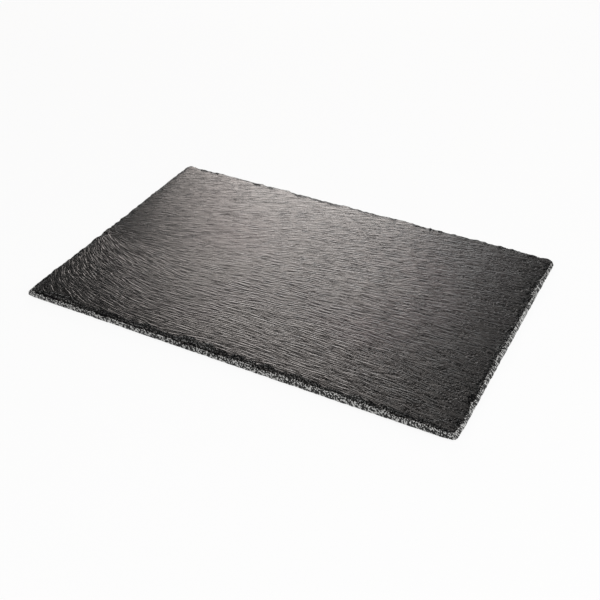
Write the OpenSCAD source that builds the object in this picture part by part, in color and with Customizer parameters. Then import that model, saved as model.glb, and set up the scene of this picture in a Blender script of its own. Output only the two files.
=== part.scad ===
// Slate serving board: one slab of riven slate with hand-dressed edges, on four stick-on feet.
// +X runs along the length, -Y is the front, +Z is up.
// The origin is under the middle of the board, on the table.

/* [Slab] */
// Length of the slab at its widest outline
board_length = 450; // [250:5:600]
// Depth of the slab at its widest outline
board_depth = 300; // [180:5:400]
// Thickness of the slate
slate_thickness = 6.4; // [5:0.1:12]
// Rounding of the outline's four corners, seen from above
corner_radius = 3.5; // [1.5:0.5:12]

/* [Dressed edge] */
// Least width of the flaked band between the top face and the lip of the wall
band_width = 0.6; // [0.4:0.1:4]
// How much further the deepest flake scar bites into the top face
scar_reach = 9; // [3:0.1:11]
// Usual length of a flake scar along the edge
scar_length = 26; // [15:1:40]
// How much further small nicks bite into the rim of the top face
nick_reach = 1.8; // [0.1:0.1:2.5]
// Fall of a deep scar, from the top face to the lip of the wall
scar_drop = 2.3; // [1:0.1:3]
// How far the fractured wall leans in between its foot and its lip, on average
wall_lean = 1.5; // [1:0.1:3]
// Depth of the broken facets on the fractured wall
fracture_relief = 0.6; // [0.2:0.1:0.9]
// Wander of the trimmed outline from a straight line
trim_wander = 0.5; // [0.1:0.1:1]
// How far the most broken corner is knocked back, along each of its sides
corner_bite = 1.5; // [0.2:0.1:4]
// Height and width of the crumbled corner round the underside
arris = 0.4; // [0.2:0.1:1.2]

/* [Feet] */
// Diameter of a rubber foot
foot_diameter = 20; // [12:1:30]
// Thickness of a rubber foot
foot_thickness = 2; // [1.5:0.1:5]
// Rounding of the foot's lower edge
foot_rounding = 0.4; // [0.2:0.1:0.7]
// Diameter of the adhesive disc between foot and slab
adhesive_diameter = 19; // [11:1:29]
// Thickness of the adhesive disc
adhesive_thickness = 0.2; // [0.1:0.05:0.5]
// Distance from the slab's outline to the middle of a foot
foot_inset = 38; // [30:1:60]

/* [Hidden] */
FEET = ["front_left", "front_right", "back_right", "back_left"];

slate_colour = "#2e2d2d";
rubber_colour = "#1a1a1a";
adhesive_colour = "#d8d4c4";
round_steps = 96;

// Spacing of the stations where the edge profile is drawn, along the edge and round a corner
station_pitch = 3;
corner_steps = 4;

// Height of the slab's underside above the table
seat_height = foot_thickness + adhesive_thickness;

// Flake scars on the two sides that are dressed the hardest. In each row: where the middle of
// the scar lies, from -1 to 1 along its side, then shares of scar_length and of scar_reach.
front_scar_shares = [
    [-0.89, 2.20, 0.93], [-0.695, 1.50, 0.42], [-0.60, 1.27, 0.66], [-0.51, 1.00, 0.50],
    [-0.40, 1.25, 0.83], [-0.30, 1.08, 0.54], [-0.185, 1.22, 1.00], [-0.085, 0.92, 0.93],
    [-0.015, 0.85, 0.68], [0.075, 0.80, 0.78], [0.135, 0.77, 0.50], [0.21, 1.05, 0.64],
    [0.28, 0.70, 0.44], [0.36, 1.00, 0.74], [0.445, 1.05, 0.48], [0.53, 1.00, 0.53],
    [0.63, 0.85, 0.62], [0.695, 0.70, 0.42], [0.765, 0.85, 0.66], [0.83, 0.75, 0.52],
    [0.94, 1.10, 0.54]
];
right_scar_shares = [
    [-0.97, 0.50, 0.45], [-0.87, 0.40, 0.10], [-0.735, 0.70, 0.55], [-0.63, 0.35, 0.15],
    [-0.56, 0.65, 0.50], [-0.44, 0.95, 0.36], [-0.34, 0.35, 0.12], [-0.23, 0.70, 0.40],
    [-0.14, 0.45, 0.55], [-0.01, 0.65, 0.42], [0.065, 0.40, 0.40], [0.17, 0.35, 0.14],
    [0.27, 0.95, 0.34], [0.37, 0.35, 0.42], [0.48, 0.65, 0.66], [0.555, 0.45, 0.48],
    [0.62, 0.75, 0.55], [0.78, 0.60, 0.28], [0.90, 0.50, 0.12], [0.97, 0.40, 0.30]
];
// Least and most of what a scar on the two plainer sides gets, as the same shares
plain_scar_length_shares = [0.35, 1.10];
plain_scar_reach_shares = [0.06, 0.80];
// Scars on a plainer side for each scar_length of its run
plain_scar_density = 1.5;
// How far along its own pitch such a scar may be shifted
plain_scar_shift_shares = [0.2, 0.8];

// Shares of corner_bite at the front right, back right, back left and front left corners
corner_bite_shares = [0.60, 0.10, 0.30, 0.10];
// Reach of a corner's break along each side, as a share of scar_length
corner_break_share = 0.42;
// How much rounder a corner gets for each unit that the profile draws in
corner_growth_share = 0.65;

// Steps of the profile between the lip, 0, and the top face, 1: share of the way in, share of
// the way up. The short steep steps between the flat ones are where cleavage layers broke off.
terrace_shares = [[0.44, 0.16], [0.56, 0.50], [0.90, 0.62]];
// How far a terrace's edge wanders, as a share of the scar's width
terrace_wander_share = 0.12;
// Lean and height of the middle of the fractured wall, between its foot and its lip
wall_middle_shares = [0.35, 0.55];
// Lean of the wall round the board: share of the way round, then share of wall_lean
lean_shares = [
    [0, 0.90], [0.12, 0.80], [0.19, 1.20], [0.29, 1.20], [0.34, 0.90],
    [0.50, 0.85], [0.75, 0.90], [0.85, 1.20], [0.96, 1.50], [1, 0.90]
];
// Part of scar_drop that even the shallowest scar falls
least_drop_share = 0.40;
// Roundness of a scar seen from above: 0.5 is an ellipse, 1 a parabola
scar_bow = 0.62;

// Sides run front, right, back, left. Each has the direction that it runs in, and the one it faces.
run_directions = [[1, 0], [0, 1], [-1, 0], [0, -1]];
facings = [[0, -1], [1, 0], [0, 1], [-1, 0]];
side_runs = [for (k = [0:3]) (k % 2 == 0 ? board_length : board_depth) - 2 * corner_radius];
corner_run = corner_radius * PI / 2;
outline_run = 2 * (side_runs[0] + side_runs[1]) + 4 * corner_run;

// A fixed pseudo-random share from 0 to 1 for a whole number and a seed
function chance(i, seed) = let (v = 43758.5453 * sin(12.9898 * i + 78.233 * seed)) v - floor(v);

// The value at a share of the way from a to b
function between(a, b, share) = a + (b - a) * share;

// Distance along the outline at which side k starts
function side_start(k) = k == 0 ? 0 : side_start(k - 1) + side_runs[k - 1] + corner_run;

// A scar as [middle along the outline, half length, reach]
function placed_scar(k, row) =
    [side_start(k) + (row[0] + 1) / 2 * side_runs[k], row[1] * scar_length / 2, row[2] * scar_reach];

// The rows of scars for a plainer side: evenly spaced, then shifted and sized by chance
function plain_scars(k) =
    let (count = max(3, round(plain_scar_density * side_runs[k] / scar_length)))
    [for (i = [0:count - 1]) [
        2 * (i + between(plain_scar_shift_shares[0], plain_scar_shift_shares[1], chance(i, k))) / count - 1,
        between(plain_scar_length_shares[0], plain_scar_length_shares[1], chance(i, k + 10)),
        between(plain_scar_reach_shares[0], plain_scar_reach_shares[1], chance(i, k + 20))
    ]];

scars = [
    for (row = front_scar_shares) placed_scar(0, row),
    for (row = right_scar_shares) placed_scar(1, row),
    for (row = plain_scars(2)) placed_scar(2, row),
    for (row = plain_scars(3)) placed_scar(3, row)
];

// Shortest way round the closed outline from one place to another
function gap_along(a, b) =
    let (d = abs(a - b)) min(d, outline_run - d);

// Reach of the deepest scar at a place along the outline. Seen from above each scar is an arc,
// and neighbours meet in a cusp.
function scar_reach_at(place) = max([
    0,
    for (s = scars)
        let (x = gap_along(place, s[0]) / s[1])
        if (x < 1) s[2] * pow(1 - x * x, scar_bow)
]);

// How far the outline is knocked back at a place by the breaks at the four corners
function corner_loss_at(place) = max([
    for (k = [0:3])
        let (x = gap_along(place, side_start(k) + side_runs[k] + corner_run / 2) / (corner_break_share * scar_length))
        corner_bite * corner_bite_shares[k] * max(0, 1 - x * x)
]);

// Stations go once round the outline: [side, share along it from -1 to 1, angle into its corner]
stations = [
    for (k = [0:3])
        let (steps = round(side_runs[k] / station_pitch))
        each [
            for (i = [0:steps - 1]) [k, 2 * i / steps - 1, 0],
            for (i = [0:corner_steps - 1]) [k, 1, 90 * i / corner_steps]
        ]
];

// Distance along the outline of a station
function place_of(s) =
    side_start(s[0]) + (s[1] + 1) / 2 * side_runs[s[0]] + s[2] / 90 * corner_run;

// Lean of the wall at a place along the outline
function lean_at(place) = wall_lean * lookup(place / outline_run, lean_shares);

// A point of the outline drawn in by an inset. The corner arcs grow a little as they move in
// diagonally, so rings with different insets never cross.
function rim_point(s, inset) =
    let (
        k = s[0],
        radius = corner_radius + corner_growth_share * inset,
        half = (k % 2 == 0 ? board_length : board_depth) / 2 - inset - radius,
        out = (k % 2 == 0 ? board_depth : board_length) / 2 - inset - radius,
        along = run_directions[k],
        facing = facings[k]
    )
    along * (half * s[1] + radius * sin(s[2])) + facing * (out + radius * cos(s[2]));

// The edge profile at station i, from the underside to the top face: [inset, height] pairs
function edge_profile(i) =
    let (
        place = place_of(stations[i]),
        reach = scar_reach_at(place),
        nick = nick_reach * max(0, 2 * chance(i, 5) - 1),
        foot = trim_wander * max(0, 2 * chance(i, 1) - 1) + corner_loss_at(place),
        lip = foot + lean_at(place) + fracture_relief * (chance(i, 3) - 0.5),
        middle = between(foot, lip, wall_middle_shares[0]) + fracture_relief * (chance(i, 4) - 0.5),
        drop = scar_drop * between(least_drop_share, 1, reach / scar_reach),
        lip_height = slate_thickness - drop,
        face = lip + band_width + reach + nick,
        wander = terrace_wander_share * sin(place / scar_length * 360)
    )
    [
        [foot + arris, 0],
        [foot, arris],
        [max(middle, foot), between(arris, lip_height, wall_middle_shares[1])],
        [lip, lip_height],
        for (step = terrace_shares)
            [between(lip, face, step[0] + wander * (1 - step[0])), between(lip_height, slate_thickness, step[1])],
        [face, slate_thickness]
    ];

// Joins rings of points, each one profile step, into a closed solid with flat caps
module lofted_slab(profiles) {
    turns = len(profiles);
    rings = len(profiles[0]);
    points = [
        for (r = [0:rings - 1]) for (i = [0:turns - 1])
            let (p = rim_point(stations[i], profiles[i][r][0])) [p[0], p[1], profiles[i][r][1]]
    ];
    sides = [
        for (r = [0:rings - 2]) for (i = [0:turns - 1])
            let (j = (i + 1) % turns, low = r * turns, high = low + turns)
            each [[low + i, high + j, low + j], [low + i, high + i, high + j]]
    ];
    underside = [for (i = [0:turns - 1]) i];
    top_face = [for (i = [turns - 1:-1:0]) (rings - 1) * turns + i];
    polyhedron(points, [underside, top_face, each sides], convexity = 4);
}

// The slab: flat riven faces, a fractured wall and a band of flake scars all the way round
module slate_slab() {
    color(slate_colour)
        translate([0, 0, seat_height])
            lofted_slab([for (i = [0:len(stations) - 1]) edge_profile(i)]);
}

// Moves its children to a foot's place under a corner of the slab
module at_foot(place) {
    x_sign = place == "front_left" || place == "back_left" ? -1 : 1;
    y_sign = place == "front_left" || place == "front_right" ? -1 : 1;
    translate([x_sign * (board_length / 2 - foot_inset), y_sign * (board_depth / 2 - foot_inset), 0])
        children();
}

// A die-cut rubber disc with its lower edge rounded
module foot_pad(place) {
    flat_radius = foot_diameter / 2 - foot_rounding;
    color(rubber_colour)
        at_foot(place)
            rotate_extrude($fn = round_steps)
                union() {
                    square([flat_radius, foot_thickness]);
                    translate([0, foot_rounding])
                        square([foot_diameter / 2, foot_thickness - foot_rounding]);
                    intersection() {
                        translate([flat_radius, foot_rounding]) circle(foot_rounding, $fn = 24);
                        square([foot_diameter / 2, foot_thickness]);
                    }
                }
}

// The double-sided adhesive that holds a foot to the slate
module adhesive_disc(place) {
    color(adhesive_colour)
        at_foot(place)
            translate([0, 0, foot_thickness])
                cylinder(h = adhesive_thickness, d = adhesive_diameter, $fn = round_steps);
}

slate_slab();
for (place = FEET) {
    foot_pad(place);
    adhesive_disc(place);
}
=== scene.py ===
"""A slate serving board: a riven slab with dressed edges, stick-on feet, and a plain studio."""

from math import cos, inf, log, pi, radians, sin, sqrt

import bpy
import numpy as np
from mathutils import Matrix, Vector


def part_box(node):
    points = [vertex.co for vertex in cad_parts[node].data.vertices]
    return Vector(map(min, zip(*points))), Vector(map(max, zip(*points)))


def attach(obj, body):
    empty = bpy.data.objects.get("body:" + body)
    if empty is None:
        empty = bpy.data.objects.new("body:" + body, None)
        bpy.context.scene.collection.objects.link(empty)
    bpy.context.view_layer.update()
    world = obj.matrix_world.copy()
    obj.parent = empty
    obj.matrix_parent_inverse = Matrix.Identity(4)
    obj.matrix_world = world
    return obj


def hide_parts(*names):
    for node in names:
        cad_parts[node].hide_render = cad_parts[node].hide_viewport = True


bl_info = {
    "name": "Slate serving board",
    "version": (1, 0, 0),
    "blender": (4, 5, 0),
    "location": "3D View > Sidebar > Slate board",
    "description": "Riven slate slab with dressed edges, rubber feet and a plain studio",
    "category": "Object",
}

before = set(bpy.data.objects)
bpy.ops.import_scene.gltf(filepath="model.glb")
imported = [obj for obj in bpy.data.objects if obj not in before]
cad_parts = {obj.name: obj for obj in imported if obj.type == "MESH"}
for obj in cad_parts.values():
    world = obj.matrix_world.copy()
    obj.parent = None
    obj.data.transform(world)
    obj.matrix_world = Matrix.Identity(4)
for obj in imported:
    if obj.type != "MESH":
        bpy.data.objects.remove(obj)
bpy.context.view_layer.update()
SLAB_LOW, SLAB_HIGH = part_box("slate_slab")
SLAB_SIZE = SLAB_HIGH - SLAB_LOW
THICKNESS = SLAB_HIGH.z - SLAB_LOW.z

MM = 0.001
FOOT_PLACES = ("front_left", "front_right", "back_right", "back_left")

# Sides run front, right, back, left: the direction each runs in, and the one it faces.
RUN_DIRECTIONS = np.array([[1, 0], [0, 1], [-1, 0], [0, -1]], float)
FACINGS = np.array([[0, -1], [1, 0], [0, 1], [-1, 0]], float)

# Seeds of the random draws and of the fixed chance.
CLEFT_SEED, EDGE_SEED = 41, 7
LENGTH_SEED, REACH_SEED, SMOOTH_SEED, CREST_SEED = 10, 20, 31, 37
TRIM_SEED, LIP_SEED, MIDDLE_SEED, NICK_SEED = 1, 3, 4, 5

# Flake scars of the two sides that are dressed the hardest. In each row: where the middle of the
# scar lies, from -1 to 1 along its side, then shares of the scar length and of the scar reach.
FRONT_SCAR_SHARES = np.array([
    [-0.89, 2.2, 0.93], [-0.695, 1.5, 0.42], [-0.6, 1.27, 0.66], [-0.51, 1.0, 0.5],
    [-0.4, 1.25, 0.83], [-0.3, 1.08, 0.54], [-0.185, 1.22, 1.0], [-0.085, 0.92, 0.93],
    [-0.015, 0.85, 0.68], [0.075, 0.8, 0.78], [0.135, 0.77, 0.5], [0.21, 1.05, 0.64],
    [0.28, 0.7, 0.44], [0.36, 1.0, 0.74], [0.445, 1.05, 0.48], [0.53, 1.0, 0.53],
    [0.63, 0.85, 0.62], [0.695, 0.7, 0.42], [0.765, 0.85, 0.66], [0.83, 0.75, 0.52],
    [0.94, 1.1, 0.54],
])
RIGHT_SCAR_SHARES = np.array([
    [-0.97, 0.5, 0.45], [-0.87, 0.4, 0.1], [-0.735, 0.7, 0.55], [-0.63, 0.35, 0.15],
    [-0.56, 0.65, 0.5], [-0.44, 0.95, 0.36], [-0.34, 0.35, 0.12], [-0.23, 0.7, 0.4],
    [-0.14, 0.45, 0.55], [-0.01, 0.65, 0.42], [0.065, 0.4, 0.4], [0.17, 0.35, 0.14],
    [0.27, 0.95, 0.34], [0.37, 0.35, 0.42], [0.48, 0.65, 0.66], [0.555, 0.45, 0.48],
    [0.62, 0.75, 0.55], [0.78, 0.6, 0.28], [0.9, 0.5, 0.12], [0.97, 0.4, 0.3],
])
# Scars of the plainer sides: ranges of their length, reach and shift, and scars to a scar length.
PLAIN_LENGTH_SHARES, PLAIN_REACH_SHARES, PLAIN_SHIFT_SHARES = (0.35, 1.1), (0.06, 0.8), (0.2, 0.8)
PLAIN_SCAR_DENSITY = 1.5
# Power of a scar's arc, and share of the scar drop where no scar bites.
SCAR_BOW, LEAST_DROP_SHARE = 0.62, 0.4

# Shares of the corner bite at the front right, back right, back left and front left corners, reach
# of a break as a share of the scar length, and growth of a corner's rounding with the inset.
CORNER_BITE_SHARES = np.array([0.6, 0.1, 0.3, 0.1])
CORNER_BREAK_SHARE, CORNER_GROWTH = 0.42, 0.65
# On the apron the rounding shrinks again: where that starts, and how much of it goes.
SHRINK_START_SHARE, SHRINK_SHARE = 0.65, 0.85

# Places round the edge where the CAD model's profile is drawn.
STATION_PITCH, CORNER_STEPS = 3 * MM, 4

# Bend of the wall's profile: share of the lean, and of the way from its foot to its lip.
BEND_IN_SHARE, BEND_UP_SHARE = 0.35, 0.55
# Round the board, from the front left corner: share of the way, share of the wall's lean.
LEAN_SHARES = np.array([
    [0, 0.9], [0.12, 0.8], [0.19, 1.2], [0.29, 1.1], [0.34, 1.35], [0.49, 1.5],
    [0.52, 0.9], [0.75, 0.9], [0.85, 1.2], [0.96, 1.5], [1, 0.9],
])
# Likewise: share of the way, share of the scars that pale crushed stone climbs.
CRUSHED_SHARES = np.array([
    [0, 0.08], [0.14, 0.1], [0.17, 0.34], [0.28, 0.3], [0.32, 0.3],
    [0.46, 0.36], [0.5, 0.24], [0.55, 0.08], [1, 0.08],
])
LEAST_CRUSHED_SHARE = 0.03

# Steps of the scars' profile from the lip, 0, to the top face, 1: shares of the way in and up.
TERRACE_IN_SHARES = (0.0, 0.44, 0.56, 0.9, 1.0)
TERRACE_UP_SHARES = (0.0, 0.16, 0.5, 0.62, 1.0)
TERRACE_WANDER_SHARE = 0.12
# How much of a scar may climb smoothly instead, as a power of the share of the way in.
SMOOTH_SHARE, SMOOTH_POWER = 0.55, 1.25

# Fine chance along the edge: size, blur in columns, and in some the least and greatest multiple.
FOOT_CRUMBS, LIP_CRUMBS, DROP_CRUMBS = (0.1 * MM, 1.5, 0, 2), (0.14 * MM, 1.2), (0.2 * MM, 1.6)
SMALL_CHIPS, BROAD_CHIPS = (0.45 * MM, 1.1, -1, 2), (0.3 * MM, 3.0)
SEAM_JITTER, CRUSHED_JITTER = (0.07, 2.0), (0.45, 5.0)
LEAST_BAND = 0.3 * MM
# Grooves and facets of the wall, and shells of the scars: blur in rings and columns, then size.
GROOVE_BLUR, GROOVE_SHARE = (2.0, 0.85), 0.3
FACET_BLUR, FACET_SHARE = (0.9, 2.2), 0.22
SHELL_BLUR, SHELL_RELIEF = (0.7, 1.7), 0.16 * MM
# Columns that the wall's grooves slide by from ring to ring.
GROOVE_LEAN = -0.3
# Shares of the wall's relief left at its foot and lip, and of the foot's inset that always stays.
LEAST_RELIEF_SHARE, LEAST_INSET_SHARE = 0.3, 0.5

# Mesh counts: columns round the edge, rings on the wall, and the grids of the two faces.
COLUMNS, WALL_RINGS = 1500, 7
TOP_GRID, UNDER_GRID = (184, 256), (84, 54)
# Rings of the crumbled corner: shares of the arris in and up, then of wall and of underside.
ARRIS_SHARES = ((2.2, 0.0, 0.0, 1), (1.0, 0.06, 0.7, 1), (0.25, 0.35, 1.0, 0))
# Rings of the scars: share of the way in, and share of crushed crest.
SCAR_RING_SHARES = (
    (0.08, 0.0), (0.2, 0.0), (0.34, 0.0), (0.44, 0.35), (0.5, 1.0), (0.56, 0.35), (0.7, 0.0),
    (0.86, 0.35), (0.95, 1.0), (1.0, 0.0),
)
APRON_SHARES = (0.06, 0.22, 0.55, 1.0)
# Crowding of the top grid, the gap stitched round it, and the inset of the underside's grid.
TOP_CROWDING, STITCH_GAP, UNDER_INSET = -0.28, 1 * MM, 9 * MM
# Power by which the riven relief fades down the edge.
FADE_POWER = 6
SHARP_ANGLE = radians(48)

# Underside: share and shift of the riven relief, and in radii of a foot, how far it is level
# round it and over what distance the relief comes back.
UNDER_SHARE, UNDER_SHIFT = 0.35, 37 * MM
LEVEL_SHARE, RETURN_SHARE = 1.1, 0.6

# The riven map: pitch, steps of a smear each way, and half its size as a share of the board's.
MAP_PITCH, SMEAR_STEPS, MAP_SHARE = 0.75 * MM, 12, 0.56
# Its waves: shortest and longest, in ripple spacings or millimetres, and smear in ripple lengths.
RIPPLE_SHARES, CRINKLE_SHARES, LAYER_SHARES = (0.75, 1.25, 1.0), (0.5, 0.8, 0.4), (2.0, 4.0, 3.0)
SWELLS_MM = (18, 60, 3.0)
# Layers to a standard deviation, riser's share of a layer, and percentile of height cut level.
LAYER_DENSITY, RISER_SHARE, LEVEL_PERCENTILE = 2.2, 0.22, 99.5

# Slopes of the cleft lines: up at the back, down at the front, and the steeper the nearer to the
# left end. Places are shares of the board's length.
LEVEL_SLOPE = 0.17
BACK_RISE, BACK_MIDDLE, BACK_SPREAD = 0.12, -0.02, 0.13
RIGHT_RISE = -0.45
FAN_FALL, FAN_START, FAN_SPREAD = 0.36, -0.13, 0.22
END_FALL, END_SPREAD = 1.6, 0.055
FRONT_START, FRONT_SPREAD = 0.01, 0.13
SLOPE_LIMITS, WANDER_WAVES = (-1.5, 0.6), (30 * MM, 90 * MM)
# Where the smear gets shorter, to the left and to the back, and the share that is lost.
SHORT_LEFT, SHORT_LEFT_SPREAD = -0.18, 0.2
SHORT_BACK, SHORT_BACK_SPREAD = 0.02, 0.16
SHORT_LOSS_SHARE = 0.6

# Patches where the oil has left a mauve cast, in shares of the board's length: x, y, radius.
STAIN_SHARES = (
    (0.27, 0.03, 0.1), (0.26, 0.2, 0.12), (0.22, -0.13, 0.08), (-0.2, 0.1, 0.12), (-0.33, 0.24, 0.08),
)


def between(low, high, share):
    """The value at a share of the way from low to high."""
    return low + (high - low) * share


def ease(share):
    """Smooth step: 0 below 0, 1 above 1, and level at both ends."""
    t = np.clip(share, 0, 1)
    return t * t * (3 - 2 * t)


def chance(i, seed):
    """A fixed pseudo-random share from 0 to 1: the fraction of a large multiple of a sine."""
    v = 43758.5453 * np.sin(np.radians(12.9898 * i + 78.233 * seed))
    return v - np.floor(v)


class Outline:
    """The slab's outline: four straight runs joined by quarter circles, walked from the front left
    corner along the front, right, back and left sides."""

    def __init__(self, length, depth, radius):
        self.half_sizes = np.array([length, depth]) / 2
        self.radius = radius
        self.runs = np.array([length, depth, length, depth]) - 2 * radius
        self.corner_run = radius * pi / 2
        self.starts = np.concatenate([[0], np.cumsum(self.runs + self.corner_run)[:3]])
        self.total = float(self.runs.sum() + 4 * self.corner_run)

    def stations(self):
        """Places of the CAD model's profiles: evenly along each run, and a few round each corner."""
        places = []
        for start, run in zip(self.starts, self.runs):
            steps = round(run / STATION_PITCH)
            corner = self.corner_run * np.arange(CORNER_STEPS) / CORNER_STEPS
            places += [start + run * np.arange(steps) / steps, start + run + corner]
        return np.concatenate(places)

    def gap(self, place, other):
        """Shortest way round the outline between places."""
        apart = np.abs(place - other)
        return np.minimum(apart, self.total - apart)

    def point(self, place, inset, radius):
        """The outline drawn in by an inset, at distances along it. Straight runs move in, and each
        corner is an arc of the radius about a centre that moves in diagonally."""
        side = np.searchsorted(self.starts, place, side="right") - 1
        beyond = place - self.starts[side]
        share = np.clip(2 * beyond / self.runs[side] - 1, -1, 1)
        angle = np.clip(beyond - self.runs[side], 0, None) / self.radius
        along = (self.half_sizes[side % 2] - inset - radius) * share + radius * np.sin(angle)
        out = self.half_sizes[1 - side % 2] - inset - radius + radius * np.cos(angle)
        return along[..., None] * RUN_DIRECTIONS[side] + out[..., None] * FACINGS[side]


def plain_scars(side, run, scar_length):
    """Rows of scars for a plainer side: evenly spaced, then shifted and sized by chance."""
    count = round(PLAIN_SCAR_DENSITY * run / scar_length)
    i = np.arange(count)
    return np.stack([
        2 * (i + between(*PLAIN_SHIFT_SHARES, chance(i, side))) / count - 1,
        between(*PLAIN_LENGTH_SHARES, chance(i, side + LENGTH_SEED)),
        between(*PLAIN_REACH_SHARES, chance(i, side + REACH_SEED)),
    ], axis=1)


def scar_reaches(outline, edge, place):
    """Reach of the deepest scar at each place, and which scar that is. From above a scar is an arc,
    (1 - x * x) to the power SCAR_BOW."""
    rows = [FRONT_SCAR_SHARES, RIGHT_SCAR_SHARES]
    rows += [plain_scars(side, outline.runs[side], edge.scar_length) for side in (2, 3)]
    sides = np.repeat(np.arange(4), [len(side_rows) for side_rows in rows])
    where, length, depth = np.concatenate(rows).T
    middle = outline.starts[sides] + (where + 1) / 2 * outline.runs[sides]
    x = outline.gap(place[:, None], middle[None]) / (length * edge.scar_length / 2)
    bows = depth * edge.scar_reach * np.clip(1 - x * x, 0, None) ** SCAR_BOW
    return bows.max(axis=1), bows.argmax(axis=1)


def band_noise(rng, shape, pitch, shortest, longest):
    """White noise whose spectrum is kept between two wavelengths by a bell over the logarithm of
    the wavelength. It wraps at its edges and has a standard deviation of 1."""
    rows, columns = shape
    across = np.fft.fftfreq(rows, pitch)[:, None]
    along = np.fft.rfftfreq(columns, pitch)[None]
    wave = 1 / np.maximum(np.hypot(across, along), 1 / (pitch * rows * columns))
    width = log(longest / shortest) / 2
    keep = np.exp(-0.5 * (np.log(wave / sqrt(longest * shortest)) / width) ** 2)
    field = np.fft.irfft2(np.fft.rfft2(rng.standard_normal(shape)) * keep, s=shape)
    return field / field.std()


def soft_noise(rng, shape, row_blur, column_blur, lean=0.0):
    """White noise blurred by so many rows and columns, wrapped round the columns. Each row is slid
    by lean columns more than the one before. It has a standard deviation of 1."""
    rows, columns = shape
    padded = (rows * 2, columns)
    f_row = np.fft.fftfreq(padded[0])[:, None]
    f_column = np.fft.rfftfreq(columns)[None]
    blur = np.exp(-2 * pi ** 2 * ((f_row * row_blur) ** 2 + (f_column * column_blur) ** 2))
    field = np.fft.irfft2(np.fft.rfft2(rng.standard_normal(padded)) * blur, s=padded)
    slide = np.exp(-2j * pi * f_column * lean * np.arange(rows)[:, None])
    field = np.fft.irfft(np.fft.rfft(field[:rows], axis=1) * slide, n=columns, axis=1)
    return field / field.std()


def line_noise(rng, size, blur, least=-inf, greatest=inf):
    """Noise for one line round the board, a value to each column: blurred, clipped and sized."""
    return size * np.clip(soft_noise(rng, (1, COLUMNS), 0, blur)[0], least, greatest)


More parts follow.
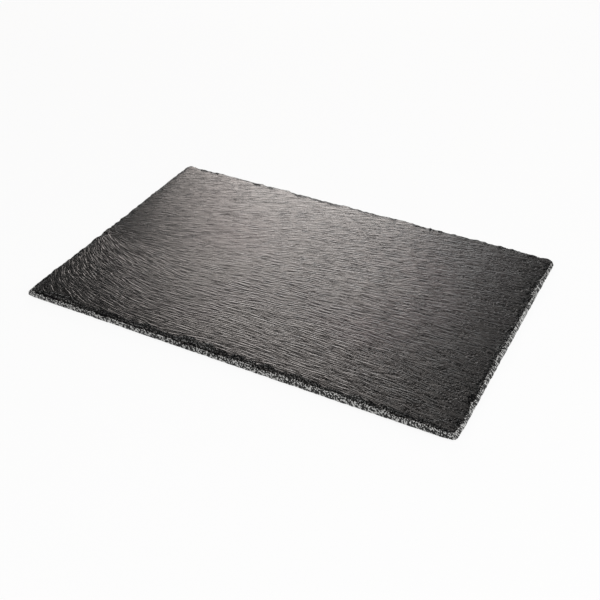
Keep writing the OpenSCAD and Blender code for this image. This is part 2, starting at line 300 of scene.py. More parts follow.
class Cleft:
    """The riven surface as a map of heights: a sum of noises smeared along the cleft lines."""

    def __init__(self, length, depth, settings):
        self.length, self.depth, self.settings = length, depth, settings
        rng = np.random.RandomState(CLEFT_SEED)
        columns, rows = (2 * int(size * MAP_SHARE / MAP_PITCH) for size in (length, depth))
        self.shape = (rows, columns)
        y, x = np.meshgrid(
            (np.arange(rows) - rows / 2) * MAP_PITCH,
            (np.arange(columns) - columns / 2) * MAP_PITCH, indexing="ij")
        self.wander = band_noise(rng, self.shape, MAP_PITCH, *WANDER_WAVES) * settings.grain_wander
        left = ease((SHORT_LEFT - x / length) / SHORT_LEFT_SPREAD)
        back = ease((y / length - SHORT_BACK) / SHORT_BACK_SPREAD)
        reach = settings.ripple_length * (1 - SHORT_LOSS_SHARE * (left * back))

        def waves(unit, shortest, longest, stretch):
            """Noise between two wavelengths, smeared along the cleft lines."""
            noise = band_noise(rng, self.shape, MAP_PITCH, unit * shortest, unit * longest)
            return self.smear(noise, x, y, reach * stretch)

        ripples = waves(settings.ripple_spacing, *RIPPLE_SHARES)
        crinkles = waves(settings.ripple_spacing, *CRINKLE_SHARES)
        swells = waves(MM, *SWELLS_MM)
        layers = LAYER_DENSITY * waves(settings.ripple_spacing, *LAYER_SHARES)
        stairs = np.floor(layers) + ease((layers - np.floor(layers)) / RISER_SHARE)
        height = (
            settings.ripple_depth * ripples
            + settings.crinkle_depth * crinkles
            + settings.swell_depth * swells
            + settings.layer_depth * stairs)
        self.height = np.minimum(height - np.percentile(height, LEVEL_PERCENTILE), 0)

    def sample(self, field, x, y):
        """Bilinear value of a wrapped map at places on the board."""
        rows, columns = self.shape
        u, v = x / MAP_PITCH + columns / 2, y / MAP_PITCH + rows / 2
        i, j = np.floor(u).astype(int), np.floor(v).astype(int)
        u, v = u - i, v - j
        i, j = i % columns, j % rows
        i2, j2 = (i + 1) % columns, (j + 1) % rows
        return ((field[j, i] * (1 - u) + field[j, i2] * u) * (1 - v)
                + (field[j2, i] * (1 - u) + field[j2, i2] * u) * v)

    def fan(self, x):
        """Share of the fan of long lines at the left end: 0 from the middle on, 1 at the end."""
        return ease((FAN_START - x / self.length) / FAN_SPREAD)

    def slope(self, x, y):
        """Rise of the cleft line through a place for each unit run along the board: a level part,
        a tanh step across it, a linear part along it, and on the front half the fan's fall."""
        share_x, share_y = x / self.length, y / self.length
        rise = LEVEL_SLOPE + BACK_RISE * np.tanh((share_y - BACK_MIDDLE) / BACK_SPREAD) + RIGHT_RISE * share_x
        front = ease((FRONT_START - share_y) / FRONT_SPREAD)
        fall = FAN_FALL * self.fan(x) + END_FALL * np.exp(-(share_x + 0.5) / END_SPREAD)
        return np.clip(rise - fall * front + self.sample(self.wander, x, y), *SLOPE_LIMITS)

    def smear(self, field, x, y, reach):
        """Mean of a map along the cleft line through each place, with weights that fall as a
        raised cosine to nothing at reach on both sides. Its standard deviation is made 1."""
        total = self.sample(field, x, y)
        for way in (1, -1):
            px, py = x, y
            for step in range(1, SMEAR_STEPS):
                slope = self.slope(px, py)
                run = way * reach / SMEAR_STEPS / np.hypot(1, slope)
                px, py = px + run, py + run * slope
                weight = 0.5 + 0.5 * cos(pi * step / SMEAR_STEPS)
                total = total + weight * self.sample(field, px, py)
        return total / total.std()

    def at(self, x, y):
        """Height of the riven surface, 0 at its highest. Towards the slab's rim it droops as a
        falling exponential."""
        inward = np.minimum(self.length / 2 - np.abs(x), self.depth / 2 - np.abs(y))
        droop = self.settings.droop_depth * np.exp(-np.clip(inward, 0, None) / self.settings.droop_reach)
        return self.sample(self.height, x, y) - droop

    def under(self, x, y):
        """Height of the underside: another part of the riven map, turned end for end, shallower,
        and level round the feet so that they sit flat."""
        relief = UNDER_SHARE * (self.at(-x, y + UNDER_SHIFT) - self.height.min())
        for place in FOOT_PLACES:
            low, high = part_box("foot_pad_" + place)
            middle = (low + high) / 2
            radius = (high.x - low.x) / 2
            away = np.hypot(x - middle.x, y - middle.y)
            relief = relief * ease((away - LEVEL_SHARE * radius) / (RETURN_SHARE * radius))
        return relief


class EdgeLines:
    """The edge's main lines, a value to each column: insets of the wall's foot, middle and lip and
    of the top face's rim, the lip's height, and the scar's number. Chance drawn at the CAD model's
    stations is carried between them in straight lines, and finer chance is laid over it."""

    def __init__(self, edge, outline, rng):
        self.place = place = (np.arange(COLUMNS) + 0.5) * outline.total / COLUMNS
        self.share = place / outline.total
        stations = outline.stations()

        def carried(seed, bites=False):
            """Chance from 0 to 1, or for bites its upper half, stretched to that range."""
            values = chance(np.arange(len(stations)), seed)
            if bites:
                values = np.clip(2 * values - 1, 0, None)
            return np.interp(place, stations, values, period=outline.total)

        corner = outline.starts + outline.runs + outline.corner_run / 2
        x = outline.gap(place[:, None], corner[None]) / (CORNER_BREAK_SHARE * edge.scar_length)
        breaks = edge.corner_bite * CORNER_BITE_SHARES * np.clip(1 - x * x, 0, None)
        foot = edge.trim_wander * carried(TRIM_SEED, bites=True) + breaks.max(axis=1)
        self.foot = foot + line_noise(rng, *FOOT_CRUMBS)

        lean = edge.wall_lean * np.interp(self.share, *LEAN_SHARES.T)
        self.lip = self.foot + lean + edge.fracture_relief * (carried(LIP_SEED) - 0.5)
        self.lip = self.lip + line_noise(rng, *LIP_CRUMBS)
        straight = between(self.foot, self.lip, BEND_IN_SHARE)
        self.middle = straight + edge.fracture_relief * (carried(MIDDLE_SEED) - 0.5)

        reach, self.scar = scar_reaches(outline, edge, place)
        drop = edge.scar_drop * between(LEAST_DROP_SHARE, 1, reach / edge.scar_reach)
        drop = drop + line_noise(rng, *DROP_CRUMBS)
        self.lip_height = THICKNESS - np.maximum(drop, LEAST_BAND)
        chips = line_noise(rng, *SMALL_CHIPS) + line_noise(rng, *BROAD_CHIPS)
        nicks = edge.nick_reach * carried(NICK_SEED, bites=True)
        face = self.lip + edge.band_width + reach + nicks + chips
        self.face = np.maximum(face, self.lip + LEAST_BAND)


def arris_rings(edge, lines):
    """Rings of the crumbled corner round the underside."""
    for inward, up, wall, under in ARRIS_SHARES:
        yield lines.foot + inward * edge.arris, up * edge.arris, wall, 0, 0, under


def wall_rings(edge, lines, rng):
    """Rings of the fractured wall: straight lines from its foot to its middle and its lip, with
    leaning grooves and facets whose relief grows with the sine of the way up."""
    grooves = soft_noise(rng, (WALL_RINGS, COLUMNS), *GROOVE_BLUR, lean=GROOVE_LEAN)
    facets = soft_noise(rng, (WALL_RINGS, COLUMNS), *FACET_BLUR, lean=GROOVE_LEAN)
    for k, up in enumerate(np.arange(WALL_RINGS) / (WALL_RINGS - 1)):
        if up < BEND_UP_SHARE:
            profile = between(lines.foot, lines.middle, up / BEND_UP_SHARE)
        else:
            profile = between(lines.middle, lines.lip, (up - BEND_UP_SHARE) / (1 - BEND_UP_SHARE))
        relief = edge.fracture_relief * (GROOVE_SHARE * grooves[k] + FACET_SHARE * facets[k])
        relief = relief * between(LEAST_RELIEF_SHARE, 1, sin(pi * up))
        inset = np.maximum(profile + relief, LEAST_INSET_SHARE * lines.foot)
        yield inset, between(edge.arris, lines.lip_height, up), 1, 0, 0, 0


def scar_rings(edge, lines, rng):
    """Rings of the flake scars, from the lip to the rim of the top face. They climb partly in
    terraces, whose seams wander as a sine along the edge, and partly as a power of the way in.
    Crushed stone fades from the lip, and crests mark the terraces' edges."""
    wander = TERRACE_WANDER_SHARE * np.sin(lines.place / edge.scar_length * 2 * pi)
    wander = wander + line_noise(rng, *SEAM_JITTER)
    smooth = SMOOTH_SHARE * chance(lines.scar, SMOOTH_SEED)
    shells = soft_noise(rng, (len(SCAR_RING_SHARES), COLUMNS), *SHELL_BLUR)
    crushed = np.interp(lines.share, *CRUSHED_SHARES.T) * (1 + line_noise(rng, *CRUSHED_JITTER))
    crushed = np.clip(crushed, LEAST_CRUSHED_SHARE, 1)
    for shell, (share, crest) in zip(shells, SCAR_RING_SHARES):
        inward = share + wander * (1 - share) * min(1, share / TERRACE_IN_SHARES[1])
        terraced = np.interp(share, TERRACE_IN_SHARES, TERRACE_UP_SHARES)
        up = between(terraced, share ** SMOOTH_POWER, smooth)
        height = between(lines.lip_height, THICKNESS, up)
        height = np.minimum(height + SHELL_RELIEF * shell * sin(pi * share), THICKNESS)
        pale = np.clip(1 - share / crushed, 0, 1)
        crest = crest * chance(lines.scar, CREST_SEED)
        yield between(lines.lip, lines.face, inward), height, pale, 1, crest, 0


def apron_rings(edge, lines):
    """Rings of the apron, the finely meshed rim of the top face."""
    for share in APRON_SHARES:
        yield between(lines.face, edge.apron, share), THICKNESS, 0, 0, 0, 0


def stitched(outer, outer_place, inner, inner_place, total):
    """Triangles between two closed loops of vertices. Both are merged in the order of their places,
    and each vertex closes a triangle with the last ones before it on both loops. They face up
    when the loops run anticlockwise and outer lies outside."""
    first, second = (np.argsort(place % total, kind="stable") for place in (outer_place, inner_place))
    outer, outer_place = outer[first], (outer_place % total)[first]
    inner, inner_place = inner[second], (inner_place % total)[second]
    order = np.argsort(np.concatenate([outer_place, inner_place]), kind="stable")
    is_outer = order < len(outer)
    a, b = np.cumsum(is_outer) - 1, np.cumsum(~is_outer) - 1
    third = np.where(is_outer, outer[a], inner[b])
    before = np.where(is_outer, outer[a - 1], outer[a])
    last = np.where(is_outer, inner[b], inner[b - 1])
    return np.stack([before, third, last], axis=1)


def grid_faces(first, rows, columns, wrapped=False):
    """Quads of a grid of vertices numbered row by row from first. They face the side from which
    the columns run right and the rows run up."""
    j = np.arange(rows - 1)[:, None]
    i = np.arange(columns if wrapped else columns - 1)[None]
    right = (i + 1) % columns
    corners = [j * columns + i, j * columns + right, (j + 1) * columns + right, (j + 1) * columns + i]
    return first + np.stack(np.broadcast_arrays(*corners), axis=-1).reshape(-1, 4)


def rectangle(outline, inset, columns, rows, crowding=0.0):
    """A grid inside the outline: its x and y values, the indices of its rim walked anticlockwise
    from the front left, and the place on the outline of each rim vertex. Crowding packs the
    columns closer at the left end, or below 0 at the right end, by a quadratic spacing."""
    half_x, half_y = halves = outline.half_sizes - inset
    s = np.linspace(0, 1, columns)
    s = s * (1 - crowding) + s * s * crowding
    x, y = np.meshgrid(half_x * (2 * s - 1), np.linspace(-half_y, half_y, rows))
    index = np.arange(rows * columns).reshape(rows, columns)
    rim = np.concatenate([index[0, :-1], index[:-1, -1], index[-1, :0:-1], index[:0:-1, 0]])
    sides = np.repeat(np.arange(4), [columns - 1, rows - 1, columns - 1, rows - 1])
    points = np.stack([x.ravel()[rim], y.ravel()[rim]], axis=1)
    along = (points * RUN_DIRECTIONS[sides]).sum(axis=1)
    place = outline.starts[sides] + (along / halves[sides % 2] + 1) / 2 * outline.runs[sides]
    return x, y, rim, place


def slab_mesh(edge, cleft, outline):
    """The whole slab as one closed surface. Rings go round the outline from the underside up the
    edge to the top face, and a grid fills the rest of each face. Returns vertices, quads,
    triangles and masks."""
    rng = np.random.RandomState(EDGE_SEED)
    lines = EdgeLines(edge, outline, rng)
    rings = [
        *arris_rings(edge, lines), *wall_rings(edge, lines, rng),
        *scar_rings(edge, lines, rng), *apron_rings(edge, lines)]
    insets, heights, *masks = (
        np.stack([np.broadcast_to(value, COLUMNS) for value in values]) for values in zip(*rings))

    insets = np.clip(insets, 0, edge.apron)
    shrunk = (insets / edge.apron - SHRINK_START_SHARE) / (1 - SHRINK_START_SHARE)
    radius = (edge.corner_radius + CORNER_GROWTH * insets) * (1 - SHRINK_SHARE * np.clip(shrunk, 0, 1))
    x, y = np.moveaxis(outline.point(lines.place, insets, radius), -1, 0)
    z = SLAB_LOW.z + heights + cleft.at(x, y) * (heights / THICKNESS) ** FADE_POWER
    z[0] = SLAB_LOW.z + cleft.under(x[0], y[0])
    top_x, top_y, top_rim, top_place = rectangle(
        outline, edge.apron + STITCH_GAP, *TOP_GRID, crowding=TOP_CROWDING)
    under_x, under_y, under_rim, under_place = rectangle(outline, UNDER_INSET, *UNDER_GRID)
    points = np.concatenate([
        np.stack([values.ravel() for values in part], axis=1) for part in (
            (x, y, z),
            (top_x, top_y, SLAB_HIGH.z + cleft.at(top_x, top_y)),
            (under_x, under_y, SLAB_LOW.z + cleft.under(under_x, under_y)))])

    first_top = x.size
    first_under = first_top + top_x.size
    quads = np.concatenate([
        grid_faces(0, len(rings), COLUMNS, wrapped=True),
        grid_faces(first_top, *top_x.shape),
        grid_faces(first_under, *under_x.shape)[:, ::-1]])
    column = np.arange(COLUMNS)
    last_ring = first_top - COLUMNS + column
    triangles = np.concatenate([
        stitched(last_ring, lines.place, first_top + top_rim, top_place, outline.total),
        stitched(column, lines.place, first_under + under_rim, under_place, outline.total)[:, ::-1]])
    return points, quads, triangles, {
        name: np.concatenate([mask.ravel(), np.zeros(top_x.size), np.full(under_x.size, name == "under")])
        for name, mask in zip(("wall", "scar", "crest", "under"), masks)}


def oil_stain(x, y):
    """Sum of soft round patches, each 1 in its middle and falling off as a bell."""
    stain = 0
    for middle_x, middle_y, radius in STAIN_SHARES:
        away = np.hypot(x / SLAB_SIZE.x - middle_x, y / SLAB_SIZE.x - middle_y) / radius
        stain = stain + np.exp(-away * away)
    return np.clip(stain, 0, 1)


def build_object(name, points, quads, triangles):
    """A mesh object at the origin from arrays of vertices, quads and triangles."""
    mesh = bpy.data.meshes.new(name)
    mesh.from_pydata(points.tolist(), [], quads.tolist() + triangles.tolist())
    mesh.validate()
    piece = bpy.data.objects.new(name, mesh)
    bpy.context.scene.collection.objects.link(piece)
    return piece


class Link:
    """A shader socket. Arithmetic with links and numbers adds Math nodes."""

    def __init__(self, maker, socket):
        self.maker, self.socket = maker, socket

    def math(self, operation, *values, clamp=False):
        """A Math node of the values."""
        return self.maker.node("Math", dict(enumerate(values)), operation=operation, use_clamp=clamp)

    def __add__(self, other):
        return self.math("ADD", self, other)

    def __sub__(self, other):
        return self.math("SUBTRACT", self, other)

    def __mul__(self, other):
        return self.math("MULTIPLY", self, other)

    def __rsub__(self, other):
        return self.math("SUBTRACT", other, self)

    __radd__ = __add__
    __rmul__ = __mul__

    def clamped(self):
        """The value held between 0 and 1."""
        return self.math("ADD", self, 0.0, clamp=True)


class Finish:
    """A material under construction."""

    def __init__(self, name):
        self.material = bpy.data.materials.new(name)
        self.material.use_nodes = True
        self.tree = self.material.node_tree
        self.tree.nodes.clear()
        self.place = self.node("TexCoord", out="Object")

    def node(self, kind, inputs=(), out=0, **settings):
        """Adds a node: its settings first, then the values or links of its sockets."""
        made = self.tree.nodes.new("ShaderNode" + kind)
        for key, value in settings.items():
            setattr(made, key, value)
        for key, value in dict(inputs).items():
            if isinstance(value, Link):
                self.tree.links.new(value.socket, made.inputs[key])
            else:
                made.inputs[key].default_value = value
        return Link(self, made.outputs[out])

    def attribute(self, name):
        """A number kept on the mesh."""
        return self.node("Attribute", out="Fac", attribute_type="GEOMETRY", attribute_name=name)

    def axis(self, number):
        """Place along the axis x, y or z, numbered from 0."""
        return self.node("SeparateXYZ", {0: self.place}, number)

    def scaled(self, vector, scale):
        """A vector scaled on each axis."""
        return self.node("VectorMath", {0: vector, 1: scale}, operation="MULTIPLY")

    def noise(self, scale, detail, roughness=0.5, place=None):
        """Noise from 0 to 1, with so many waves to a metre on each axis."""
        vector = self.scaled(place or self.place, scale)
        return self.node("TexNoise", {
            "Vector": vector, "Scale": 1.0, "Detail": detail, "Roughness": roughness})

    def spread(self, value, low, high, new_low=0.0, new_high=1.0):
        """Smooth step from new_low at low to new_high at high."""
        return self.node("MapRange", {
            "Value": value, "From Min": low, "From Max": high, "To Min": new_low, "To Max": new_high,
        }, interpolation_type="SMOOTHSTEP")

    def uneven(self, noise, middle, change):
        """A middle value changed by noise, held between 0 and 1."""
        return (middle + (noise - 0.5) * change).clamped()

    def mix(self, share, first, second):
        """Colour at a share of the way from first to second."""
        first, second = (v if isinstance(v, Link) else (*v, 1.0) for v in (first, second))
        return self.node("Mix", {0: share, 6: first, 7: second}, 2, data_type="RGBA")

    def bumpy(self, colour, roughness, height, distance, strength=1.0, **others):
        """A principled shader with a bump."""
        bump = self.node("Bump", {"Height": height, "Distance": distance, "Strength": strength})
        return self.node("BsdfPrincipled", {
            "Base Color": colour, "Roughness": roughness, "Normal": bump, **others})

    def done(self, shader):
        """The material, with the shader as its surface."""
        output = self.tree.nodes.new("ShaderNodeOutputMaterial")
        self.tree.links.new(shader.socket, output.inputs["Surface"])
        return self.material


# Directions in which the grain's noise is laid, as angles from the board's length.
GRAIN_STEP = radians(10)
GRAIN_DIRECTIONS = GRAIN_STEP * np.arange(-5, 4)

# The slate's noises, in waves to a metre on each axis. Streaks and lines run along the grain.
STREAK_SCALE, LINE_SCALE = (62, 690, 690), (22, 330, 330)
FINE_SCALE, CLOUD_SCALE = (950, 1150, 950), (9, 12, 9)
COMB_SCALE, GRIT_SCALE, SHELL_SCALE = (780, 780, 130), (1100, 1100, 900), (380, 380, 800)
# Where a blend starts and ends, and in some the values it goes between. Streaks grow and grooves, a
# painted shade along the thin lines, come in towards the right end, by places in metres.
MASK_SPREAD, TINT_SPREAD = (0.35, 0.6), (-0.1, 0.14)
GRAIN_SPREAD, CREST_SPREAD = (0.515, 0.58), (0.49, 0.57)
STREAK_SPREAD, GROOVE_SHADE_SPREAD = (-0.14, 0.14, 0.88, 1.4), (-0.06, 0.12, 0.0, 0.7)
# Pits: a painted shade in the lows of the streaks, where the black scar shader is mixed in.
PIT_SHADE_SPREAD = (-0.24, -0.02, 0.7, 0.0)
# Lines: how much thinner they are than their noise, and least share of them outside the fan.
LINE_THINNING, LEAST_LINE_SHARE = 15, 0.15
# Shares of the lines' painted highlight and of fine noise in the tint, of fine noise in the scars' edges, of
# bare stone.
LINE_HIGHLIGHT_SHARE, FINE_TINT, FINE_EDGE, BARE_TINT = 0.45, 0.65, 0.8, 0.8
# Wall: lean of its grain, share of round grit, and how its grain frays its upper end.
GRAIN_LEAN, GRIT_SHARE, WALL_GATE, WALL_FRAY = 0.45, 0.2, 5, 2.6
# Oiled, bare and flaked stone: roughness, its change by streaks and clouds, and refraction. The
# flaked stone's shader also gives the painted shade of pits and grooves.
OILED_ROUGH, BARE_ROUGH, FLAKED_ROUGH, STREAK_ROUGH, CLOUD_ROUGH = 0.25, 0.75, 0.2, 0.12, 0.06
OILED_IOR, FLAKED_IOR = 1.42, 1.2
# Depths of the bumps, and shares of the streaks, fine noise and lines.
STONE_BUMP, FLAKED_BUMP = 1.0 * MM, 1.6 * MM
STREAK_BUMP, FINE_BUMP, LINE_BUMP = 0.37, 0.03, 0.08


def along_grain(f, scale):
    """Noise drawn out along the grain, about 0. It is laid in fixed directions, and each place
    blends the two nearest to its own grain, divided by the root of the sum of their squared
    weights, which keeps the contrast even."""
    grain = f.attribute("grain_angle")
    total, squares = 0.0, 0.0
    for direction in GRAIN_DIRECTIONS.tolist():
        turned = f.node("VectorRotate", {"Vector": f.place, "Angle": -direction}, rotation_type="Z_AXIS")
        away = grain.math("ABSOLUTE", grain - direction)
        weight = (1 - away * (1 / GRAIN_STEP)).clamped()
        total = total + (f.noise(scale, detail=0, place=turned) - 0.5) * weight
        squares = squares + weight * weight
    return total.math("DIVIDE", total, squares.math("POWER", squares, 0.5))


def wall_speckle(f):
    """Grains of the broken wall: noise drawn out upwards, with a lean, and some round grit."""
    lift = f.axis(2) * GRAIN_LEAN
    shift = f.node("CombineXYZ", {0: lift, 1: lift})
    leaning = f.node("VectorMath", {0: f.place, 1: shift}, operation="ADD")
    comb = f.noise(COMB_SCALE, detail=0.5, place=leaning)
    return comb * (1 - GRIT_SHARE) + f.noise(GRIT_SCALE, detail=0.5) * GRIT_SHARE


def slate_material(finish):
    """Oiled slate. Streaks and thin lines follow the cleft lines on the faces; the thin lines are
    painted paler, a painted highlight that is strongest in the fan at the left end. The broken wall
    is pale, granular and dull, and the underside bare. The scars are a second shader, black and
    glassy, and the same shader is mixed into the pits and grooves between the streaks as painted
    shade."""
    f = Finish("riven_slate")
    wall, scar, crest, under, oil, fan = (
        f.attribute(name) for name in ("wall", "scar", "crest", "under", "oil", "fan"))
    along = f.axis(0)
    streaks = along_grain(f, STREAK_SCALE)
    lively = streaks * f.spread(along, *STREAK_SPREAD)
    thin = (1 - fan.math("ABSOLUTE", along_grain(f, LINE_SCALE)) * LINE_THINNING).clamped()
    lines = thin * between(LEAST_LINE_SHARE, 1, fan)
    fine = f.noise(FINE_SCALE, detail=0)
    clouds = f.noise(CLOUD_SCALE, detail=2)
    speckle = wall_speckle(f)
    pale = f.spread(wall + (wall * WALL_GATE).clamped() * (speckle - 0.5) * WALL_FRAY, *MASK_SPREAD)
    flaked = f.spread(scar + (fine - 0.5) * FINE_EDGE, *MASK_SPREAD)
    bare = under * (1 - wall)

    tint = lively + (fine - 0.5) * FINE_TINT
    colour = f.mix(f.spread(tint, *TINT_SPREAD), finish.cleft_dark, finish.cleft_light)
    # The thin lines are painted paler: a painted highlight, strongest in the fan at the left end.
    colour = f.mix(lines * LINE_HIGHLIGHT_SHARE, colour, finish.line_highlight_colour)
    colour = f.mix(oil * f.spread(fine * 0.5 + clouds * 0.5, *MASK_SPREAD), colour, finish.cleft_mauve)
    broken = f.mix(f.spread(speckle, *GRAIN_SPREAD), finish.wall_dark, finish.wall_light)
    colour = f.mix(bare * BARE_TINT, f.mix(pale, colour, broken), finish.under_colour)
    gloss = OILED_ROUGH + streaks * STREAK_ROUGH + (clouds - 0.5) * CLOUD_ROUGH
    rough = gloss + (pale + bare).clamped() * (BARE_ROUGH - gloss)
    height = lively * STREAK_BUMP + (fine - 0.5) * FINE_BUMP + lines * LINE_BUMP
    height = height + pale * (speckle - height)
    stone = f.bumpy(colour, rough.clamped(), height, STONE_BUMP, IOR=OILED_IOR)

    ridge = crest * f.spread(speckle, *CREST_SPREAD)
    scar_and_pit_shader = f.bumpy(
        f.mix(ridge, finish.scar_and_pit_shade_colour, finish.crest_colour), FLAKED_ROUGH,
        f.noise(SHELL_SCALE, detail=1), FLAKED_BUMP, IOR=FLAKED_IOR)
    # Pits and grooves: the black scar shader mixed into the stone as painted shade.
    wear_and_pit_shade = (f.spread(tint, *PIT_SHADE_SPREAD) + thin * f.spread(along, *GROOVE_SHADE_SPREAD)).clamped()
    black = (flaked + wear_and_pit_shade * (1 - flaked)) * (1 - pale)
    return f.done(f.node("MixShader", {0: black, 1: stone, 2: scar_and_pit_shader}))


# Rubber and adhesive film: noises in waves to a metre, and where their blends start and end.
CELL_SCALE, SCUFF_SCALE, FILM_SCALE = (2600, 2600, 2600), (220, 220, 220), (160, 160, 160)
SCUFF_SPREAD, FILM_SPREAD = (0.45, 0.7), (0.35, 0.65)
# Roughness and its change, depth and strength of the bump, and shares of the scuffs and cells.
RUBBER_ROUGH, RUBBER_BUMP = (0.72, 0.3), (0.12 * MM, 0.6)
FILM_ROUGH, FILM_BUMP = (0.45, 0.4), (0.05 * MM, 0.5)
CELL_SOFTNESS, SCUFF_WEAR, CELL_WEAR, SCUFF_HEIGHT = 0.4, 0.6, 0.2, 0.5


def rubber_material(finish):
    """Closed-cell rubber: a fine pitted skin, greyer and duller where it has scuffed."""
    f = Finish("foot_rubber")
    cells = f.node("TexVoronoi", {
        "Vector": f.scaled(f.place, CELL_SCALE), "Smoothness": CELL_SOFTNESS}, feature="SMOOTH_F1")
    scuffs = f.noise(SCUFF_SCALE, detail=4, roughness=0.6)
    wear_and_pit_shade = f.spread(scuffs, *SCUFF_SPREAD) * SCUFF_WEAR + cells * CELL_WEAR
    colour = f.mix(wear_and_pit_shade, finish.rubber_colour, finish.rubber_scuffed)
    rough = f.uneven(scuffs, *RUBBER_ROUGH)
    return f.done(f.bumpy(colour, rough, cells + scuffs * SCUFF_HEIGHT, *RUBBER_BUMP))


def adhesive_material(finish):
    """Milky adhesive film, slightly yellowed and clouded."""
    f = Finish("adhesive_film")
    clouds = f.noise(FILM_SCALE, detail=3)
    colour = f.mix(f.spread(clouds, *FILM_SPREAD), finish.adhesive_colour, finish.adhesive_yellowed)
    return f.done(f.bumpy(colour, f.uneven(clouds, *FILM_ROUGH), clouds, *FILM_BUMP))


# The floor: share of plain white in what is seen of it, and shade and scale of its darker grain.
WHITE_SHARE, FLOOR_DARK_SHARE, FLOOR_SCALE = 0.9, 0.97, (300, 300, 300)
# It turns up into a round wall, far behind the lamps: sizes in metres, and mesh counts.
FLOOR_REACH, WALL_HEIGHT, BOWL_BEND = 7.0, 1.4, 1.2
BOWL_COLUMNS, BEND_STEPS = 96, 12

# Soft lamps: name, direction in degrees clockwise from the back of the board, elevation in
# degrees, distance, width and height in metres, radiance, and in some a tint.
WARM = (1.1, 1.0, 0.945)
LAMPS = (
    ("sheen", -26.5, 24, 2.2, (0.85, 0.8), 5.7, WARM),
    ("low", -19.5, 14, 2.2, (0.9, 0.8), 2.4),
    ("steep", -22, 43, 2.2, (0.9, 0.8), 0.85, WARM),
    ("right", 85, 30, 2.0, (1.2, 1.0), 5.3),
    ("front", 190, 38, 2.2, (1.6, 1.2), 2.7),
    ("high", 145, 66, 2.0, (1.2, 1.2), 3.0),
)
# Sensor width in millimetres, and shifts of the picture as shares of it.
SENSOR_WIDTH, SHIFT_X_SHARE, SHIFT_Y_SHARE = 36, 0.0242, 0.0007


def floor_material(studio):
    """Plain pale floor. What the camera, glossy or transmitted rays meet is mostly plain white, and
    the rest is lit paint, which keeps the board's shadow."""
    f = Finish("studio_floor")
    camera, glossy, transmitted = (
        f.node("LightPath", out=name)
        for name in ("Is Camera Ray", "Is Glossy Ray", "Is Transmission Ray"))
    seen = (camera + glossy + transmitted).clamped()
    grain = f.noise(FLOOR_SCALE, detail=2)
    darker = [value * FLOOR_DARK_SHARE for value in studio.floor_colour]
    paint = f.node("BsdfDiffuse", {"Color": f.mix(grain, studio.floor_colour, darker)})
    white = f.node("Emission", {"Color": (1, 1, 1, 1), "Strength": 1.0})
    return f.done(f.node("MixShader", {0: seen * WHITE_SHARE, 1: paint, 2: white}))


def softbox(name, direction, elevation, distance, size, radiance, tint=(1, 1, 1)):
    """A rectangular lamp that faces the board. Its power is radiance times area times pi."""
    lamp = bpy.data.lights.new(name + "_softbox", "AREA")
    lamp.shape = "RECTANGLE"
    lamp.size, lamp.size_y = size
    lamp.energy = radiance * size[0] * size[1] * pi
    lamp.color = tint
    turn, tilt = radians(direction), radians(elevation)
    away = Vector((sin(turn) * cos(tilt), cos(turn) * cos(tilt), sin(tilt)))
    holder = bpy.data.objects.new(lamp.name, lamp)
    holder.location = away * distance
    holder.rotation_euler = away.to_track_quat("Z", "Y").to_euler()
    bpy.context.scene.collection.objects.link(holder)


def bowl(reach, height, bend):
    """A round floor that bends up into a wall: a fan of triangles over the level part, then rings
    of quads up a quarter circle and the wall. It faces the middle."""
    turn = np.linspace(0, 2 * pi, BOWL_COLUMNS, endpoint=False)
    climb = np.linspace(0, pi / 2, BEND_STEPS)
    radii = np.append(reach - bend + bend * np.sin(climb), reach)
    heights = np.append(bend * (1 - np.cos(climb)), height)
    x, y = radii[:, None] * np.cos(turn), radii[:, None] * np.sin(turn)
    z = heights[:, None] + 0 * x
    points = np.concatenate([np.stack([x.ravel(), y.ravel(), z.ravel()], axis=1), [[0, 0, 0]]])
    i = np.arange(BOWL_COLUMNS)
    fan = np.stack([i, (i + 1) % BOWL_COLUMNS, np.full(BOWL_COLUMNS, len(points) - 1)], axis=1)
    return points, grid_faces(0, len(radii), BOWL_COLUMNS, wrapped=True), fan


def setting(name, description, default, unit="LENGTH", subtype="DISTANCE"):
    """A number that a user may change, usually a length."""
    return bpy.props.FloatProperty(
        name=name, description=description, default=default, unit=unit, subtype=subtype)


def shade(name, description, *default):
    """A colour that a user may change."""
    return bpy.props.FloatVectorProperty(
        name=name, description=description, default=default, size=3, subtype="COLOR")


class SLATE_PG_edge(bpy.types.PropertyGroup):
    """Sizes of the dressed edge."""

    corner_radius: setting("Corner radius", "Rounding of the corners", 3.5 * MM)
    scar_length: setting("Scar length", "Usual length of a flake scar", 26 * MM)
    scar_reach: setting("Scar reach", "How far the deepest scar bites in", 9 * MM)
    scar_drop: setting("Scar drop", "Fall of a deep scar down to the wall", 2.3 * MM)
    nick_reach: setting("Nick reach", "How much further small nicks bite in", 1.8 * MM)
    band_width: setting("Band width", "Least width of the flaked band", 0.6 * MM)
    wall_lean: setting("Wall lean", "How far the broken wall leans in", 1.5 * MM)
    fracture_relief: setting("Fracture relief", "Depth of the wall's facets", 0.6 * MM)
    trim_wander: setting("Trim wander", "Wander of the outline", 0.5 * MM)
    corner_bite: setting("Corner bite", "Loss of a fully broken corner", 1.5 * MM)
    arris: setting("Arris", "Crumbled corner round the underside", 0.4 * MM)
    apron: setting("Apron", "Width of the finely meshed rim", 14 * MM)


class SLATE_PG_cleft(bpy.types.PropertyGroup):
    """Relief of the riven faces."""

    ripple_spacing: setting("Ripple spacing", "Distance between ripples", 3.8 * MM)
    ripple_length: setting("Ripple length", "How far a ripple runs each way", 14 * MM)
    ripple_depth: setting("Ripple depth", "Typical height of a ripple", 0.019 * MM)
    crinkle_depth: setting("Crinkle depth", "Typical height of a crinkle", 0.009 * MM)
    swell_depth: setting("Swell depth", "Typical height of a swell", 0.008 * MM)
    layer_depth: setting("Layer depth", "Height of a cleavage layer", 0.004 * MM)
    droop_depth: setting("Droop depth", "Fall of the face at its outline", 0.45 * MM)
    droop_reach: setting("Droop reach", "Distance over which that fall fades", 9 * MM)
    grain_wander: setting("Grain wander", "Typical wander of the grain's slope", 0.06, "NONE", "FACTOR")


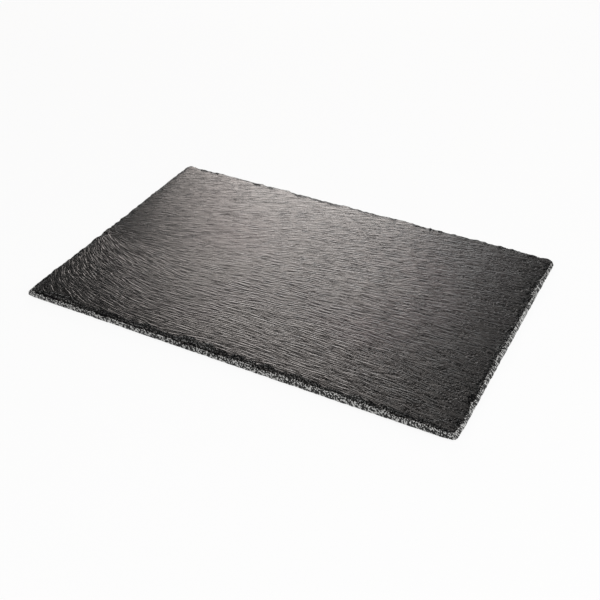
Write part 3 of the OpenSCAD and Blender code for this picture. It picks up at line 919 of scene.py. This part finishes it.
class SLATE_PG_finish(bpy.types.PropertyGroup):
    """Colours of the board."""

    cleft_dark: shade("Cleft dark", "Darker streaks of the riven face", 0.006, 0.006, 0.006)
    cleft_light: shade("Cleft light", "Lighter streaks of the riven face", 0.026, 0.0257, 0.0252)
    # The thin lines' paler colour is a painted highlight.
    line_highlight_colour: shade("Cleft lines", "Painted highlight on thin lines of the riven face", 0.04, 0.04, 0.04)
    cleft_mauve: shade("Cleft mauve", "Mauve patches of the riven face", 0.028, 0.0175, 0.0203)
    # Also the colour of the painted shade in pits and grooves.
    scar_and_pit_shade_colour: shade("Scar", "Flake scars, and painted shade in pits and grooves", 0.0035, 0.0035, 0.0037)
    crest_colour: shade("Crushed crest", "Crushed edges of the terraces", 0.28, 0.28, 0.274)
    wall_dark: shade("Wall dark", "Dark grains of the broken wall", 0.012, 0.012, 0.0118)
    wall_light: shade("Wall light", "Pale grains of the broken wall", 0.5, 0.5, 0.488)
    under_colour: shade("Underside", "Unoiled underside", 0.085, 0.087, 0.09)
    rubber_colour: shade("Rubber", "Feet", 0.012, 0.012, 0.012)
    rubber_scuffed: shade("Rubber, scuffed", "Scuffs of the feet", 0.045, 0.044, 0.043)
    adhesive_colour: shade("Adhesive", "Adhesive film", 0.68, 0.65, 0.58)
    adhesive_yellowed: shade("Adhesive, yellowed", "Clouds in the film", 0.52, 0.46, 0.34)


class SLATE_PG_studio(bpy.types.PropertyGroup):
    """Camera, floor and room."""

    lens: setting("Lens", "Focal length", 58.62, "CAMERA", "NONE")
    camera_place: bpy.props.FloatVectorProperty(
        name="Camera", description="Place of the camera", default=(0.3728, -0.7316, 0.5651),
        size=3, unit="LENGTH", subtype="TRANSLATION")
    azimuth: setting("Azimuth", "Turn of the view round the board", radians(27.796), "ROTATION", "ANGLE")
    elevation: setting("Elevation", "How far the view looks down", radians(35.688), "ROTATION", "ANGLE")
    floor_colour: shade("Floor", "Paint of the floor", 0.86, 0.86, 0.86)
    room_light: setting("Room light", "Strength of the room's even light", 0.04, "NONE", "FACTOR")


class SLATE_OT_slab(bpy.types.Operator):
    """Builds the slate slab with its dressed edge and riven faces"""

    bl_idname = "slate.slab"
    bl_label = "Slate slab"

    def execute(self, context):
        edge = context.scene.slate_edge
        outline = Outline(SLAB_SIZE.x, SLAB_SIZE.y, edge.corner_radius)
        cleft = Cleft(SLAB_SIZE.x, SLAB_SIZE.y, context.scene.slate_cleft)
        points, quads, triangles, masks = slab_mesh(edge, cleft, outline)
        slab = build_object("riven_slab", points, quads, triangles)
        if len(slab.data.vertices) != len(points):
            raise RuntimeError("the slab's mesh lost vertices")
        x, y = points[:, 0], points[:, 1]
        grain = np.clip(np.arctan(cleft.slope(x, y)), GRAIN_DIRECTIONS[0], GRAIN_DIRECTIONS[-1])
        masks.update(grain_angle=grain, oil=oil_stain(x, y), fan=cleft.fan(x))
        for name, values in masks.items():
            attribute = slab.data.attributes.new(name, "FLOAT", "POINT")
            attribute.data.foreach_set("value", values.astype(np.float32))
        slab.data.shade_smooth()
        slab.data.set_sharp_from_angle(angle=SHARP_ANGLE)
        slab.data.materials.append(slate_material(context.scene.slate_finish))
        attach(slab, "root")
        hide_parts("slate_slab")
        return {"FINISHED"}


class SLATE_OT_feet(bpy.types.Operator):
    """Finishes the rubber feet"""

    bl_idname = "slate.feet"
    bl_label = "Feet"

    def execute(self, context):
        rubber = rubber_material(context.scene.slate_finish)
        for place in FOOT_PLACES:
            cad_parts["foot_pad_" + place].material_slots[0].material = rubber
        return {"FINISHED"}


class SLATE_OT_adhesive(bpy.types.Operator):
    """Finishes the adhesive discs under the slab"""

    bl_idname = "slate.adhesive"
    bl_label = "Adhesive discs"

    def execute(self, context):
        film = adhesive_material(context.scene.slate_finish)
        for place in FOOT_PLACES:
            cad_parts["adhesive_disc_" + place].material_slots[0].material = film
        return {"FINISHED"}


class SLATE_OT_stage(bpy.types.Operator):
    """Sets up the camera, the pale floor and the soft lamps"""

    bl_idname = "slate.stage"
    bl_label = "Studio"

    def execute(self, context):
        scene = context.scene
        studio = scene.slate_studio
        turn, tilt = studio.azimuth, studio.elevation
        back = Vector((sin(turn) * cos(tilt), -cos(turn) * cos(tilt), sin(tilt)))
        right = Vector((cos(turn), sin(turn), 0))
        lens = bpy.data.cameras.new("camera")
        lens.lens, lens.sensor_width = studio.lens, SENSOR_WIDTH
        lens.shift_x, lens.shift_y = SHIFT_X_SHARE, SHIFT_Y_SHARE
        camera = bpy.data.objects.new("camera", lens)
        turned = Matrix((right, back.cross(right), back)).transposed().to_4x4()
        camera.matrix_world = Matrix.Translation(studio.camera_place) @ turned
        scene.collection.objects.link(camera)
        scene.camera = camera

        floor = build_object("studio_floor", *bowl(FLOOR_REACH, WALL_HEIGHT, BOWL_BEND))
        floor.data.materials.append(floor_material(studio))
        for lamp in LAMPS:
            softbox(*lamp)

        world = bpy.data.worlds.new("room")
        world.use_nodes = True
        even = world.node_tree.nodes["Background"]
        even.inputs["Color"].default_value = (1, 1, 1, 1)
        even.inputs["Strength"].default_value = studio.room_light
        scene.world = world
        scene.view_settings.view_transform = "Standard"
        return {"FINISHED"}


class SLATE_PT_board(bpy.types.Panel):
    """Lists the board's sizes and the operators that build it"""

    bl_label = "Slate board"
    bl_idname = "SLATE_PT_board"
    bl_space_type = "VIEW_3D"
    bl_region_type = "UI"
    bl_category = "Slate board"

    def draw(self, context):
        for group in GROUPS:
            box = self.layout.box()
            settings = getattr(context.scene, group)
            for key in GROUPS[group].__annotations__:
                box.prop(settings, key)
        for operator in OPERATORS:
            self.layout.operator(operator.bl_idname)


GROUPS = {
    "slate_edge": SLATE_PG_edge, "slate_cleft": SLATE_PG_cleft,
    "slate_finish": SLATE_PG_finish, "slate_studio": SLATE_PG_studio,
}
OPERATORS = (SLATE_OT_slab, SLATE_OT_feet, SLATE_OT_adhesive, SLATE_OT_stage)
CLASSES = (*GROUPS.values(), *OPERATORS, SLATE_PT_board)


def register():
    for cls in CLASSES:
        bpy.utils.register_class(cls)
    for name, group in GROUPS.items():
        setattr(bpy.types.Scene, name, bpy.props.PointerProperty(type=group))


def unregister():
    for name in GROUPS:
        delattr(bpy.types.Scene, name)
    for cls in reversed(CLASSES):
        bpy.utils.unregister_class(cls)


def main():
    """Registers the add-on and builds every piece."""
    register()
    bpy.ops.slate.slab()
    bpy.ops.slate.feet()
    bpy.ops.slate.adhesive()
    bpy.ops.slate.stage()


if __name__ == "__main__":
    main()
